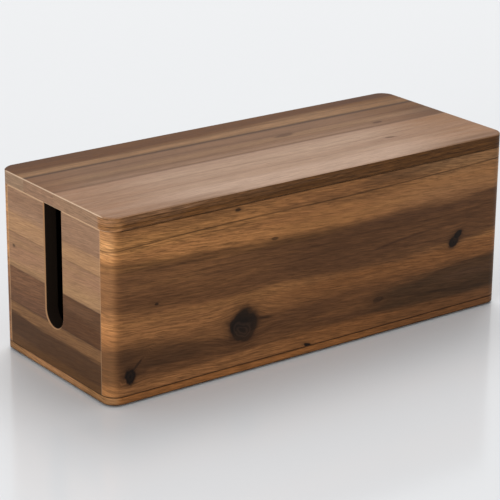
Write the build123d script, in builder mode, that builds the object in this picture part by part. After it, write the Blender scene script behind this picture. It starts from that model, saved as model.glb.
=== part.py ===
import os
from math import radians, tan

from build123d import *

# Cable management box: a tray of solid wood boards with a loose lid.
# Frame: X runs along the length, Y from front to back, Z up. The origin is the centre of the
# footprint, on the surface that the box stands on. All sizes are in millimetres.

# Outside
box_length = 400.0
box_depth = 160.0
corner_radius = 12.0  # upright outer corners
wall_height = 134.0  # from the base board to the lid

# Boards
wall_thickness = 12.0
base_thickness = 6.5
lid_thickness = 11.5
eased_edge = 0.5  # chamfer on every outer arris, which leaves a fine V between boards
lid_top_edge = 0.8  # chamfer round the lid's top face
slot_edge = 0.8  # chamfer round the slots, outside and inside
slot_edge_angle = 45.0

# Cable slot in each end board: a U, open at the top
slot_width = 25.5
slot_floor_height = 33.5  # lowest point of the U above the base board

# Staves that the end boards are glued up from, lowest first. The top one takes what is left.
end_stave_widths = (37.0, 29.5, 30.0)
end_stave_levels = ("low", "middle", "top")

# Staves that the lid is glued up from. The front one takes what is left.
lid_rear_stave_width = 37.5
lid_middle_stave_width = 44.5

# Battens under the lid, which keep it in place on the walls
batten_width = 12.0
batten_depth = 8.0
batten_clearance = 1.0  # to the walls, along each side and at each end
batten_lead_in = 1.5  # chamfer on the lower edges

# Screws up through the battens into the lid
batten_screw_diameter = 3.0
batten_screw_head_diameter = 6.0
batten_screw_cover = 3.5  # wood left between the screw's point and the lid's top face
batten_screw_spacing = 110.0
batten_screw_count = 4  # in each batten

# Screws up through the base board into the walls
base_screw_diameter = 3.5
base_screw_head_diameter = 7.0
base_screw_length = 25.0
base_screw_spacing = 110.0
base_screw_count = 4  # along each long wall
end_screw_spacing = 76.0
end_screw_count = 2  # along each end wall

# Screw details that both kinds share
countersink_angle = 90.0
pilot_depth_spare = 0.5  # pilot hole past the screw's point
screw_point_length = 3.0
screw_tip_radius = 0.2
screw_head_rim = 0.3
screw_recess_share = 0.56  # span of the cross recess over the head's diameter
screw_recess_width = 0.9
screw_recess_depth = 1.4
screw_clearance = 0.05  # radial

# Dowels between the end boards and the long boards, one for each stave at each corner
dowel_diameter = 6.0
dowel_skin = 7.0  # wood between the blind hole and the outer face of the long board
dowel_in_end_board = 15.0
dowel_end_gap = 0.5
dowel_clearance = 0.05  # radial
dowel_chamfer = 0.8

# Feet
foot_height = 1.5
foot_diameter = 14.0
foot_edge = 0.3
foot_inset_x = 24.0  # foot centre from the end of the box
foot_inset_y = 24.0  # foot centre from the long side of the box

# Levels
base_bottom = foot_height
wall_bottom = base_bottom + base_thickness
wall_top = wall_bottom + wall_height
batten_bottom = wall_top - batten_depth

# Inside of the walls
inner_length = box_length - 2 * wall_thickness
inner_depth = box_depth - 2 * wall_thickness
end_wall_middle = box_length / 2 - wall_thickness / 2
long_wall_middle = box_depth / 2 - wall_thickness / 2

# Screws
countersink_slope = tan(radians(countersink_angle / 2))
base_screw_hole_radius = base_screw_diameter / 2 + screw_clearance
batten_screw_hole_radius = batten_screw_diameter / 2 + screw_clearance

# Slot
slot_radius = slot_width / 2
slot_centre_height = wall_bottom + slot_floor_height + slot_radius

# Planes between the staves of an end board, from the base board up to the lid
stave_levels = [wall_bottom]
for stave_width in end_stave_widths:
    stave_levels.append(stave_levels[-1] + stave_width)
stave_levels.append(wall_top)

# Planes between the staves of the lid
lid_rear_joint = box_depth / 2 - lid_rear_stave_width
lid_front_joint = lid_rear_joint - lid_middle_stave_width

# Battens
batten_length = inner_length - 2 * batten_clearance
batten_centre = inner_depth / 2 - batten_clearance - batten_width / 2
batten_screw_length = batten_depth + lid_thickness - batten_screw_cover

# Dowels
dowel_in_long_board = wall_thickness - dowel_skin
dowel_length = dowel_in_long_board + dowel_in_end_board - 2 * dowel_end_gap
dowel_hole_centre = inner_depth / 2 + (dowel_in_long_board - dowel_in_end_board) / 2
dowel_heights = [(low + high) / 2 for low, high in zip(stave_levels[:-1], stave_levels[1:])]

# Feet
foot_x = box_length / 2 - foot_inset_x
foot_y = box_depth / 2 - foot_inset_y


def upward(x, y, z):
    """A plane at a point, facing down, from which a hole or a screw runs up."""
    return Plane(origin=(x, y, z), z_dir=(0, 0, -1))


def along_depth(x, y, z):
    """A plane at a point, facing back, which puts a cylinder's axis along the depth."""
    return Plane(origin=(x, y, z), z_dir=(0, 1, 0))


def row(count, spacing):
    """Places of equally spaced things in a row about zero."""
    return [(index - (count - 1) / 2) * spacing for index in range(count)]


def countersink_radius(head_diameter):
    """Mouth of a countersink that sets a screw head flush with the wood."""
    return head_diameter / 2 + (screw_head_rim + screw_clearance) * countersink_slope


def save(piece, name):
    """Name a piece and write it to its own STEP file."""
    piece.label = name
    export_step(piece, f"parts/{name}.step")


def countersunk_screw(diameter, head_diameter, length):
    """A wood screw with its head at the origin and its point downwards."""
    radius = diameter / 2
    head_radius = head_diameter / 2
    head_height = screw_head_rim + (head_radius - radius) / countersink_slope
    with BuildPart() as screw:
        with BuildSketch(Plane.XZ):
            with BuildLine():
                Polyline(
                    (0, 0),
                    (head_radius, 0),
                    (head_radius, -screw_head_rim),
                    (radius, -head_height),
                    (radius, -length + screw_point_length),
                    (screw_tip_radius, -length),
                    (0, -length),
                    close=True,
                )
            make_face()
        revolve(axis=Axis.Z)
        with BuildSketch():
            Rectangle(head_diameter * screw_recess_share, screw_recess_width)
            Rectangle(screw_recess_width, head_diameter * screw_recess_share)
        extrude(amount=-screw_recess_depth, mode=Mode.SUBTRACT)
    return screw.part


# Where the fasteners go
base_screw_places = [
    upward(x, side * long_wall_middle, base_bottom)
    for side in (-1, 1)
    for x in row(base_screw_count, base_screw_spacing)
]
base_screw_places += [
    upward(end * end_wall_middle, y, base_bottom)
    for end in (-1, 1)
    for y in row(end_screw_count, end_screw_spacing)
]
batten_screw_rows = {
    side: [
        upward(x, side * batten_centre, batten_bottom)
        for x in row(batten_screw_count, batten_screw_spacing)
    ]
    for side in (-1, 1)
}
batten_screw_places = batten_screw_rows[-1] + batten_screw_rows[1]
dowel_places = [
    along_depth(end * end_wall_middle, side * dowel_hole_centre, height)
    for end in (-1, 1)
    for side in (-1, 1)
    for height in dowel_heights
]

os.makedirs("parts", exist_ok=True)

# Base board: covers the whole footprint, screwed up into the walls
with BuildPart() as base_board:
    with BuildSketch(Plane.XY.offset(base_bottom)):
        RectangleRounded(box_length, box_depth, corner_radius)
    extrude(amount=base_thickness)
    chamfer(base_board.faces().filter_by(Axis.Z).edges(), length=eased_edge)
    with Locations(base_screw_places):
        CounterSinkHole(
            radius=base_screw_hole_radius,
            counter_sink_radius=countersink_radius(base_screw_head_diameter),
            depth=base_thickness,
            counter_sink_angle=countersink_angle,
        )
save(base_board.part, "base_board")

# The four walls in one: outside form, hollow, slots, and every hole that crosses a joint.
# The separate boards are parted from it below, so holes and edges meet at the joints.
with BuildPart() as walls:
    with BuildSketch(Plane.XY.offset(wall_bottom)):
        RectangleRounded(box_length, box_depth, corner_radius)
    extrude(amount=wall_height)
    chamfer(walls.faces().filter_by(Axis.Z).edges(), length=eased_edge)
    with BuildSketch(Plane.XY.offset(wall_bottom)):
        Rectangle(inner_length, inner_depth)
    extrude(amount=wall_height, mode=Mode.SUBTRACT)

    with BuildSketch(Plane.YZ) as slot:
        with Locations((0, slot_centre_height)):
            Circle(slot_radius)
            Rectangle(slot_width, wall_height, align=(Align.CENTER, Align.MIN))
    extrude(amount=box_length, both=True, mode=Mode.SUBTRACT)
    for end in (-1, 1):
        for face_x, inward in ((box_length / 2, -end), (inner_length / 2, end)):
            with BuildSketch(Plane.YZ.offset(end * face_x)):
                add(slot.sketch_local)
                offset(amount=slot_edge)
            extrude(amount=inward * slot_edge, taper=slot_edge_angle, mode=Mode.SUBTRACT)

    with Locations(base_screw_places):
        Hole(radius=base_screw_hole_radius, depth=base_screw_length + pilot_depth_spare)
    with Locations(dowel_places):
        Cylinder(
            radius=dowel_diameter / 2 + dowel_clearance,
            height=dowel_in_long_board + dowel_in_end_board,
            mode=Mode.SUBTRACT,
        )

# Joint planes between the long boards and the end boards. Plane.XZ faces forward.
front_joint = Plane.XZ.offset(inner_depth / 2)
rear_joint = Plane.XZ.offset(-inner_depth / 2)

# Front and rear boards: the full length of the box
with BuildPart() as front_board:
    add(walls.part)
    split(bisect_by=front_joint, keep=Keep.TOP)
save(front_board.part, "front_board")

with BuildPart() as rear_board:
    add(walls.part)
    split(bisect_by=rear_joint, keep=Keep.BOTTOM)
save(rear_board.part, "rear_board")

# End boards: between the long boards, parted into staves. The slot leaves each stave above the
# bottom one in two blocks, one in front of the slot and one behind it.
for end_name, end_side in (("left", Keep.BOTTOM), ("right", Keep.TOP)):
    with BuildPart() as end_board:
        add(walls.part)
        split(bisect_by=front_joint, keep=Keep.BOTTOM)
        split(bisect_by=rear_joint, keep=Keep.TOP)
        split(bisect_by=Plane.YZ, keep=end_side)

    with BuildPart() as bottom_stave:
        add(end_board.part)
        split(bisect_by=Plane.XY.offset(stave_levels[1]), keep=Keep.BOTTOM)
    save(bottom_stave.part, f"{end_name}_bottom_stave")

    for level_name, low, high in zip(end_stave_levels, stave_levels[1:], stave_levels[2:]):
        for block_name, block_side in (("front", Keep.TOP), ("rear", Keep.BOTTOM)):
            with BuildPart() as stave_block:
                add(end_board.part)
                split(bisect_by=Plane.XY.offset(low), keep=Keep.TOP)
                split(bisect_by=Plane.XY.offset(high), keep=Keep.BOTTOM)
                split(bisect_by=Plane.XZ, keep=block_side)
            save(stave_block.part, f"{end_name}_{level_name}_{block_name}_stave")

# Dowels: blind on both sides, so none shows
with BuildPart() as dowel:
    Cylinder(radius=dowel_diameter / 2, height=dowel_length)
    chamfer(dowel.edges(), length=dowel_chamfer)

with BuildPart() as corner_dowels:
    with Locations(dowel_places):
        add(dowel.part)
save(corner_dowels.part, "corner_dowels")

# Screws under the base board
base_screw = countersunk_screw(base_screw_diameter, base_screw_head_diameter, base_screw_length)
with BuildPart() as base_screws:
    with Locations(base_screw_places):
        add(base_screw)
save(base_screws.part, "base_screws")

# Rubber feet, one near each corner
for side_name, side in (("front", -1), ("rear", 1)):
    for end_name, end in (("left", -1), ("right", 1)):
        with BuildPart() as foot:
            with BuildSketch():
                with Locations((end * foot_x, side * foot_y)):
                    Circle(foot_diameter / 2)
            extrude(amount=foot_height)
            fillet(foot.faces().sort_by(Axis.Z)[0].edges(), radius=foot_edge)
        save(foot.part, f"{side_name}_{end_name}_foot")

# The lid in one: parted into its staves below
with BuildPart() as lid:
    with BuildSketch(Plane.XY.offset(wall_top)):
        RectangleRounded(box_length, box_depth, corner_radius)
    extrude(amount=lid_thickness)
    chamfer(lid.faces().sort_by(Axis.Z)[-1].edges(), length=lid_top_edge)
    chamfer(lid.faces().sort_by(Axis.Z)[0].edges(), length=eased_edge)
    with Locations(batten_screw_places):
        Hole(radius=batten_screw_hole_radius, depth=batten_screw_length + pilot_depth_spare)

lid_front_plane = Plane.XZ.offset(-lid_front_joint)
lid_rear_plane = Plane.XZ.offset(-lid_rear_joint)

with BuildPart() as lid_front_stave:
    add(lid.part)
    split(bisect_by=lid_front_plane, keep=Keep.TOP)
save(lid_front_stave.part, "lid_front_stave")

with BuildPart() as lid_middle_stave:
    add(lid.part)
    split(bisect_by=lid_front_plane, keep=Keep.BOTTOM)
    split(bisect_by=lid_rear_plane, keep=Keep.TOP)
save(lid_middle_stave.part, "lid_middle_stave")

with BuildPart() as lid_rear_stave:
    add(lid.part)
    split(bisect_by=lid_rear_plane, keep=Keep.BOTTOM)
save(lid_rear_stave.part, "lid_rear_stave")

# Battens: just inside the long walls, clear of the slots
for batten_name, side in (("front", -1), ("rear", 1)):
    with BuildPart() as batten:
        with BuildSketch(Plane.XY.offset(batten_bottom)):
            with Locations((0, side * batten_centre)):
                Rectangle(batten_length, batten_width)
        extrude(amount=batten_depth)
        chamfer(batten.faces().sort_by(Axis.Z)[0].edges(), length=batten_lead_in)
        with Locations(batten_screw_rows[side]):
            CounterSinkHole(
                radius=batten_screw_hole_radius,
                counter_sink_radius=countersink_radius(batten_screw_head_diameter),
                depth=batten_depth,
                counter_sink_angle=countersink_angle,
            )
    save(batten.part, f"{batten_name}_batten")

# Screws in the battens
batten_screw = countersunk_screw(batten_screw_diameter, batten_screw_head_diameter, batten_screw_length)
with BuildPart() as batten_screws:
    with Locations(batten_screw_places):
        add(batten_screw)
save(batten_screws.part, "batten_screws")
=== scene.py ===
import math

import bpy
from mathutils import Matrix, Vector


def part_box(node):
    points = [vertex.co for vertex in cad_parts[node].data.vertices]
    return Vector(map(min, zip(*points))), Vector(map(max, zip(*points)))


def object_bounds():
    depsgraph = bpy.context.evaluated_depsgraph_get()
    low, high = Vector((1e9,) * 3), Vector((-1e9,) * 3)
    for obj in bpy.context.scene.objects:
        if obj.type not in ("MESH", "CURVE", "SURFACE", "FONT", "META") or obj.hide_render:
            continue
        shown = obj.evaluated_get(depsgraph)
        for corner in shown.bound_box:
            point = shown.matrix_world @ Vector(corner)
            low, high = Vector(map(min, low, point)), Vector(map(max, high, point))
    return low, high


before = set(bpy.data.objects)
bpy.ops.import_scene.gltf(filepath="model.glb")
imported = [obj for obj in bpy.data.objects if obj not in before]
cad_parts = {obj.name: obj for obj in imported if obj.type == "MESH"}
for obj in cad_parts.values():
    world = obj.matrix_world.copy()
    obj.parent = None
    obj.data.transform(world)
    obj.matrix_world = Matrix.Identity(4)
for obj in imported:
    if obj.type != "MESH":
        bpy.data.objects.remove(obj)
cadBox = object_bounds()
print("frame loaded,", len(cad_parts), "pieces")

mmPerMetre = 1000

# the sizes that the finishes follow, in mm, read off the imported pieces
boxSize = {
    'halfLength': cadBox[1].x * mmPerMetre,
    'halfWidth': cadBox[1].y * mmPerMetre,
    'lidTop': cadBox[1].z * mmPerMetre,
    'innerX': -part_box('left_bottom_stave')[1].x * mmPerMetre,
    'innerY': -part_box('front_board')[1].y * mmPerMetre,
    'baseBottom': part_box('base_board')[0].z * mmPerMetre,
    'wallBottom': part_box('base_board')[1].z * mmPerMetre,
    'wallTop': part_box('front_board')[1].z * mmPerMetre,
    'staveJoints': [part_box(f'left_{level}_stave')[1].z * mmPerMetre
                    for level in ('bottom', 'low_front', 'middle_front')],
    'slotHalfWidth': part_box('left_top_rear_stave')[0].y * mmPerMetre,
    'lidFrontJoint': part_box('lid_middle_stave')[0].y * mmPerMetre,
    'lidRearJoint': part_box('lid_middle_stave')[1].y * mmPerMetre,
}


def linear(hexColour):
    parts = [int(hexColour[i:i + 2], 16) / 255 for i in (1, 3, 5)]
    return [p / 12.92 if p <= 0.04045 else ((p + 0.055) / 1.055) ** 2.4 for p in parts] + [1]


def addNode(tree, kind, settings, links=None):
    # settings go to an input socket where the node has one of that name or number, else to the node;
    # a link comes from another node's output, or from a node for its first output, and a plain value
    # among the links is set on its input
    node = tree.nodes.new('ShaderNode' + kind)
    for name, value in settings.items():
        if isinstance(name, int) or name in node.inputs:
            node.inputs[name].default_value = value
        else:
            setattr(node, name, value)
    for name, source in (links or {}).items():
        if isinstance(source, bpy.types.Node):
            source = source.outputs[0]
        if isinstance(source, bpy.types.NodeSocket):
            tree.links.new(source, node.inputs[name])
        else:
            node.inputs[name].default_value = source
    return node


def startMaterial(name):
    material = bpy.data.materials.new(name)
    material.use_nodes = True
    material.node_tree.nodes.clear()
    return material, material.node_tree


def spotInMm(tree):
    # where each point of a piece is in the frame while the piece is at rest; the pattern moves with it
    spot = addNode(tree, 'TexCoord', {}).outputs['Object']
    return addNode(tree, 'VectorMath', {'operation': 'SCALE', 'Scale': mmPerMetre}, {0: spot})


def dress(pieces, material):
    for piece in pieces:
        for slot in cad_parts[piece].material_slots:
            slot.material = material


# the camera stands at the front left, a little above the lid
camera = {
    'azimuth': -36.66,       # degrees, 0 looks along +Y
    'elevation': 19.66,
    'roll': 0.56,
    'aim': (0.0061, 0.0208, 0.0583),
    'distance': 1.766,
    'lens': 150.24,          # mm
    'sensorWidth': 36,
}


def placeCamera(c):
    lens = bpy.data.cameras.new("camera")
    lens.lens = c['lens']
    lens.sensor_width = c['sensorWidth']
    eye = bpy.data.objects.new("camera", lens)
    bpy.context.scene.collection.objects.link(eye)
    turn = Matrix.Rotation(math.radians(c['azimuth']), 4, 'Z')
    turn @= Matrix.Rotation(math.radians(90 - c['elevation']), 4, 'X')
    turn @= Matrix.Rotation(math.radians(c['roll']), 4, 'Z')
    back = turn.to_3x3() @ Vector((0, 0, 1))
    eye.matrix_world = Matrix.Translation(Vector(c['aim']) + back * c['distance']) @ turn
    bpy.context.scene.camera = eye


placeCamera(camera)
print("camera placed")

# a pale sweep: the floor is a smooth laminate with a slight gloss, so it keeps a faint reflection
stage = {
    'floorColour': '#EBEDEF',
    'floorRoughness': 0.14,
    'floorIor': 1.5,
    'floorHalf': 20.0,       # metres
    'backdropColour': '#F0F0F0',
    'domeColour': '#F2F2F3',
    'domeStrength': 0.73,
}


def layFloor(s):
    sheet = bpy.data.meshes.new("floor")
    half = s['floorHalf']
    corners = [(-half, -half, 0), (half, -half, 0), (half, half, 0), (-half, half, 0)]
    sheet.from_pydata(corners, [], [(0, 1, 2, 3)])
    floor = bpy.data.objects.new("floor", sheet)
    bpy.context.scene.collection.objects.link(floor)
    material, tree = startMaterial("glossy pale laminate")
    shader = addNode(tree, 'BsdfPrincipled', {
        'Base Color': linear(s['floorColour']),
        'Roughness': s['floorRoughness'],
        'IOR': s['floorIor'],
    })
    addNode(tree, 'OutputMaterial', {}, {'Surface': shader})
    sheet.materials.append(material)


def hangBackdrop(s):
    # what is seen directly, in a reflection or through something is the pale backdrop; the light that
    # falls on matt surfaces is the dome's, which is weaker
    world = bpy.data.worlds.new("studio")
    world.use_nodes = True
    tree = world.node_tree
    tree.nodes.clear()
    ray = addNode(tree, 'LightPath', {}).outputs
    seen = ray['Is Camera Ray']
    for other in ('Is Glossy Ray', 'Is Transmission Ray'):
        seen = addNode(tree, 'Math', {'operation': 'MAXIMUM'}, {0: seen, 1: ray[other]})
    dome = addNode(tree, 'Background', {'Color': linear(s['domeColour']), 'Strength': s['domeStrength']})
    backdrop = addNode(tree, 'Background', {'Color': linear(s['backdropColour']), 'Strength': 1.0})
    both = addNode(tree, 'MixShader', {}, {0: seen, 1: dome, 2: backdrop})
    addNode(tree, 'OutputWorld', {}, {'Surface': both})
    bpy.context.scene.world = world


layFloor(stage)
hangBackdrop(stage)

# two soft boxes: one at the left lights the end, one high behind catches the eased edges
softBoxes = {
    'left light': {'place': (-4.55, -1.8, 0.6), 'size': 1.8, 'share': 0.52, 'colour': '#FFFAF4'},
    'back light': {'place': (1.7, 2.1, 4.5), 'size': 2.9, 'share': 0.36, 'colour': '#FFFFFF'},
}


def hangSoftBoxes(boxes):
    # share is the light that a box gives on the object, where 1 lights a surface as bright as its colour
    for name, b in boxes.items():
        lamp = bpy.data.lights.new(name, 'AREA')
        lamp.shape = 'SQUARE'
        lamp.size = b['size']
        lamp.color = linear(b['colour'])[:3]
        away = Vector(b['place'])
        lamp.energy = b['share'] * math.pi ** 2 * away.length_squared
        held = bpy.data.objects.new(name, lamp)
        held.location = away
        held.rotation_euler = away.to_track_quat('Z', 'Y').to_euler()
        held.visible_camera = False      # lights the box, but isn't itself seen behind it
        bpy.context.scene.collection.objects.link(held)


hangSoftBoxes(softBoxes)
bpy.context.scene.view_settings.view_transform = 'Standard'
print("stage and lights placed")

# what all the walnut boards share; sizes are in mm, along the grain, across it and through the board,
# and a pattern's seed is added to the board's own
walnut = {
    # these move the lines of the grain up and down, within a span as wide as their reach
    'ripple': {'size': (38, 4, 150), 'seed': 3, 'reach': 0.8},
    'wander': {'size': (150, 34, 200), 'seed': 7, 'reach': 3.0},
    'ragged': {'size': (48, 2.4, 150), 'seed': 13, 'reach': 9.0},
    # these give a share or a factor, as risingPattern says
    'tone': {'size': (190, 13, 200), 'seed': 0, 'spread': (0.36, 0.64), 'gives': (0, 1)},
    # bands and veins are stronger in one place than in another
    'patchy': {'size': (70, 5, 200), 'seed': 11, 'spread': (0.3, 0.7), 'gives': (0.7, 1.12)},
    # growth lines are about this far apart in real walnut
    'growth': {'size': (60, 1.8, 80), 'seed': 6, 'detail': 3.0, 'spread': (0.3, 0.7),
               'gives': (0.82, 1.18)},
    # real fibre is near 0.3 mm wide; it is drawn this coarse so that it shows
    'fibre': {'size': (13, 0.85, 60), 'seed': 5, 'detail': 3.0, 'spread': (0.3, 0.7),
              'gives': (0.48, 1.52)},
    # a few long dark lines where the season turned
    'latewood': {'size': (150, 1.3, 120), 'seed': 25, 'spread': (0.60, 0.70), 'gives': (0, 0.45)},
    # pores cut lengthwise are dashes 0.2 x 4 mm; these are drawn coarser so that they show
    'pores': {'size': (7, 0.8, 50), 'seed': 22, 'spread': (0.58, 0.70), 'gives': (0, 0.5)},
    'darkLines': '#3A2413',                   # the colour of both the latewood and the pores
    'clearFrom': (0.04, 0.17),                # from dark wood to wood bright enough for its lines to show
    'darkClear': 0.6,                         # the share of their clearness that they keep on dark wood
    'roughness': (0.50, 0.60),
    'bumpHeight': 0.00012,
    'bumpStrength': 0.2,
    'ior': 1.5,
    'gloss': 0.1,
    'figureReach': 300,                       # how far along a board its lines are drawn, both ways
    'figureLow': -100, 'figureHigh': 200,     # the range of heights that a drawn line can take
    'rearEdge': 3.5,                          # the rear begins half-way round a corner
    'rearShift': 600,                         # what a place along a flat board's rear has added to it
    'slant': 0.09,                            # the fibres seldom run quite true to a board's edges
}


def flecks(tree, place, size, seed, detail=2.0):
    # an uneven pattern whose flecks are about as large as size; each seed lands elsewhere in the noise
    scale = [1 / s for s in size]
    start = (seed, seed * 1.7, -seed)
    laid = addNode(tree, 'VectorMath', {'operation': 'MULTIPLY_ADD', 1: scale, 2: start}, {0: place})
    return addNode(tree, 'TexNoise', {'Scale': 1.0, 'Detail': detail, 'Roughness': 0.55},
                   {'Vector': laid})


def risingPattern(tree, place, pattern, boardSeed=0):
    # a pattern as it is, and the share or factor that it gives: that one goes from the first to the
    # second value of gives while the pattern rises through its spread
    plain = flecks(tree, place, pattern['size'], boardSeed + pattern['seed'], pattern.get('detail', 2.0))
    low, high = pattern['spread']
    least, most = pattern['gives']
    given = addNode(tree, 'MapRange', {'From Min': low, 'From Max': high, 'To Min': least, 'To Max': most},
                    {'Value': plain})
    return plain, given


def layered(tree, base, layers):
    # lays colours or patterns over a base, each with the share of the surface that it covers; a colour
    # is in hex, or comes from a node
    for share, over, blend in layers:
        lower, upper = (linear(c) if isinstance(c, str) else c for c in (base, over))
        settings = {'data_type': 'RGBA', 'blend_type': blend}
        base = addNode(tree, 'Mix', settings, {0: share, 6: lower, 7: upper}).outputs[2]
    return base


def together(tree, shares):
    # the share of a surface where all of these shares hold at once; None holds everywhere
    whole = None
    for share in shares:
        if whole is None:
            whole = share
        elif share is not None:
            whole = addNode(tree, 'Math', {'operation': 'MULTIPLY'}, {0: whole, 1: share})
    return whole


def drawnLine(tree, along, points):
    # the height of a line drawn along a board, smooth between its points; where only a number is given, it
    # is the height of a level line
    if isinstance(points, (int, float)):
        return points
    reach, low, high = walnut['figureReach'], walnut['figureLow'], walnut['figureHigh']
    way = addNode(tree, 'MapRange', {'From Min': -reach, 'From Max': reach}, {'Value': along})
    curve = addNode(tree, 'FloatCurve', {}, {'Value': way})
    spots = [((u + reach) / (2 * reach), (v - low) / (high - low)) for u, v in points]
    drawn = curve.mapping.curves[0]
    drawn.points[0].location = spots[0]
    drawn.points[1].location = spots[-1]
    for spot in spots[1:-1]:
        drawn.points.new(*spot)
    curve.mapping.extend = 'HORIZONTAL'
    curve.mapping.update()
    return addNode(tree, 'MapRange', {'To Min': low, 'To Max': high}, {'Value': curve})


def bandShare(tree, along, across, band):
    # 1 well inside a band of darker or lighter wood, 0 outside its drawn edges and its two ends; soft is
    # how far in from its edges it fades, as a pair where the upper and the lower edge differ, and fade is
    # how far in from its ends it does
    soft = band.get('soft', 4)
    above, below = soft if isinstance(soft, tuple) else (soft, soft)
    limits = []
    if 'upper' in band:
        limits.append((drawnLine(tree, along, band['upper']), across, above))
    if 'lower' in band:
        limits.append((across, drawnLine(tree, along, band['lower']), below))
    if 'from' in band:
        limits.append((along, band['from'], band['fade']))
    if 'to' in band:
        limits.append((band['to'], along, band['fade']))
    shares = []
    for more, less, distance in limits:
        inside = addNode(tree, 'Math', {'operation': 'SUBTRACT'}, {0: more, 1: less})
        rise = addNode(tree, 'MapRange', {'interpolation_type': 'SMOOTHSTEP', 'From Max': distance},
                       {'Value': inside})
        shares.append(rise)
    return together(tree, shares)


def lineShare(tree, height, line, width):
    # 1 on a line, 0 at its width to either side
    off = addNode(tree, 'Math', {'operation': 'SUBTRACT'}, {0: height, 1: line})
    off = addNode(tree, 'Math', {'operation': 'ABSOLUTE'}, {0: off})
    return addNode(tree, 'MapRange', {
        'interpolation_type': 'SMOOTHSTEP', 'From Max': width, 'To Min': 1.0, 'To Max': 0.0,
    }, {'Value': off})


def markShare(tree, along, level, mark):
    # how much of the surface a mark covers: a line along the board, a line straight across it or a
    # band, each of which may end short of the board's ends; one without a strength covers it fully
    line = cross = None
    if 'line' in mark:
        line = lineShare(tree, level, drawnLine(tree, along, mark['line']), mark['width'])
    if 'cross' in mark:
        cross = lineShare(tree, along, mark['cross'], mark['width'])
    return together(tree, [line, cross, bandShare(tree, along, level, mark), mark.get('strength')])


def uprightShare(tree, height, low, high):
    # 1 on the upright faces of a board that lies flat, between its two flat faces
    above = addNode(tree, 'Math', {'operation': 'GREATER_THAN', 1: low}, {0: height})
    below = addNode(tree, 'Math', {'operation': 'LESS_THAN', 1: high}, {0: height})
    return together(tree, [above, below])


# near black inside and on the slots' cut faces: the grain barely shows through it, and it has no shine
stain = {                    # sizes in mm
    'colour': '#1F1711',
    # painted highlight: the bare eased rim round each slot is coloured paler than the wood
    'bareRimHighlight': '#9E7856',
    'roughness': 0.62,
    'margin': 0.15,          # how far it reaches past the inner faces
    'rim': 0.85,             # width of the eased edge round a slot, which stays bare
    'arcCentre': 54.25,      # height of the centre of a slot's half-round bottom
}


def insideDarkness(tree, spot):
    # the inside and the slots' cut faces are coloured near black; the eased rims stay bare wood, coloured
    # paler as a painted highlight
    axes = addNode(tree, 'SeparateXYZ', {}, {0: spot}).outputs
    x = addNode(tree, 'Math', {'operation': 'ABSOLUTE'}, {0: axes['X']})
    y = addNode(tree, 'Math', {'operation': 'ABSOLUTE'}, {0: axes['Y']})
    z = axes['Z']
    limits = [
        (x, 'LESS_THAN', boxSize['innerX'] + stain['margin']),
        (y, 'LESS_THAN', boxSize['innerY'] + stain['margin']),
        (z, 'GREATER_THAN', boxSize['wallBottom'] - stain['margin']),
    ]
    inside = together(tree, [addNode(tree, 'Math', {'operation': operation, 1: limit}, {0: way})
                             for way, operation, limit in limits])

    # how far a point stands from the slot's middle line: sideways, and round the bottom's half circle
    belowArc = addNode(tree, 'Math', {'operation': 'SUBTRACT', 1: stain['arcCentre']}, {0: z})
    belowArc = addNode(tree, 'Math', {'operation': 'MINIMUM', 1: 0.0}, {0: belowArc})
    across = addNode(tree, 'CombineXYZ', {}, {0: y, 1: belowArc})
    slotRadius = addNode(tree, 'VectorMath', {'operation': 'LENGTH'}, {0: across})
    nearSlot = addNode(tree, 'Math', {'operation': 'LESS_THAN', 1: boxSize['slotHalfWidth'] + stain['rim']},
                       {0: slotRadius.outputs['Value']})
    behindRim = addNode(tree, 'Math', {'operation': 'LESS_THAN', 1: boxSize['halfLength'] - stain['rim']},
                        {0: x})
    onRim = addNode(tree, 'Math', {'operation': 'SUBTRACT', 0: 1.0}, {1: behindRim})
    rim = together(tree, [nearSlot, onRim])
    cut = together(tree, [nearSlot, behindRim])
    dark = addNode(tree, 'Math', {'operation': 'MAXIMUM'}, {0: inside, 1: cut})
    return [(rim, stain['bareRimHighlight'], 'MIX'), (dark, stain['colour'], 'MIX')], dark


# in a knot's own coordinates its rim is 1 from its middle, and lengths here are in them
knotShape = {
    'waves': 1.1,            # how many waves of the uneven outline come to a length of 1
    'unevenness': 0.8,
    'flow': (0.5, 0.8),      # the smaller, the further along and across the grain gives way
    'reach': 2.5,            # where the halo ends
    'lowerSide': (-1.0, 0.1),    # a knot that is fainter below gains its strength between these heights
    # a heart with two rings, a bark line and a fading halo, from the middle to the end of the halo
    'stops': [
        (0.0, 'heart', 1.0),
        (0.07, 'heart', 1.0),
        (0.12, 'ring', 1.0),
        (0.17, 'heart', 1.0),
        (0.21, 'ring', 1.0),
        (0.26, 'heart', 1.0),
        (0.36, 'heart', 0.95),
        (0.42, 'bark', 0.7),
        (0.50, 'bark', 0.35),
        (0.64, 'bark', 0.12),
        (1.0, 'bark', 0.0),
    ],
}


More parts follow.
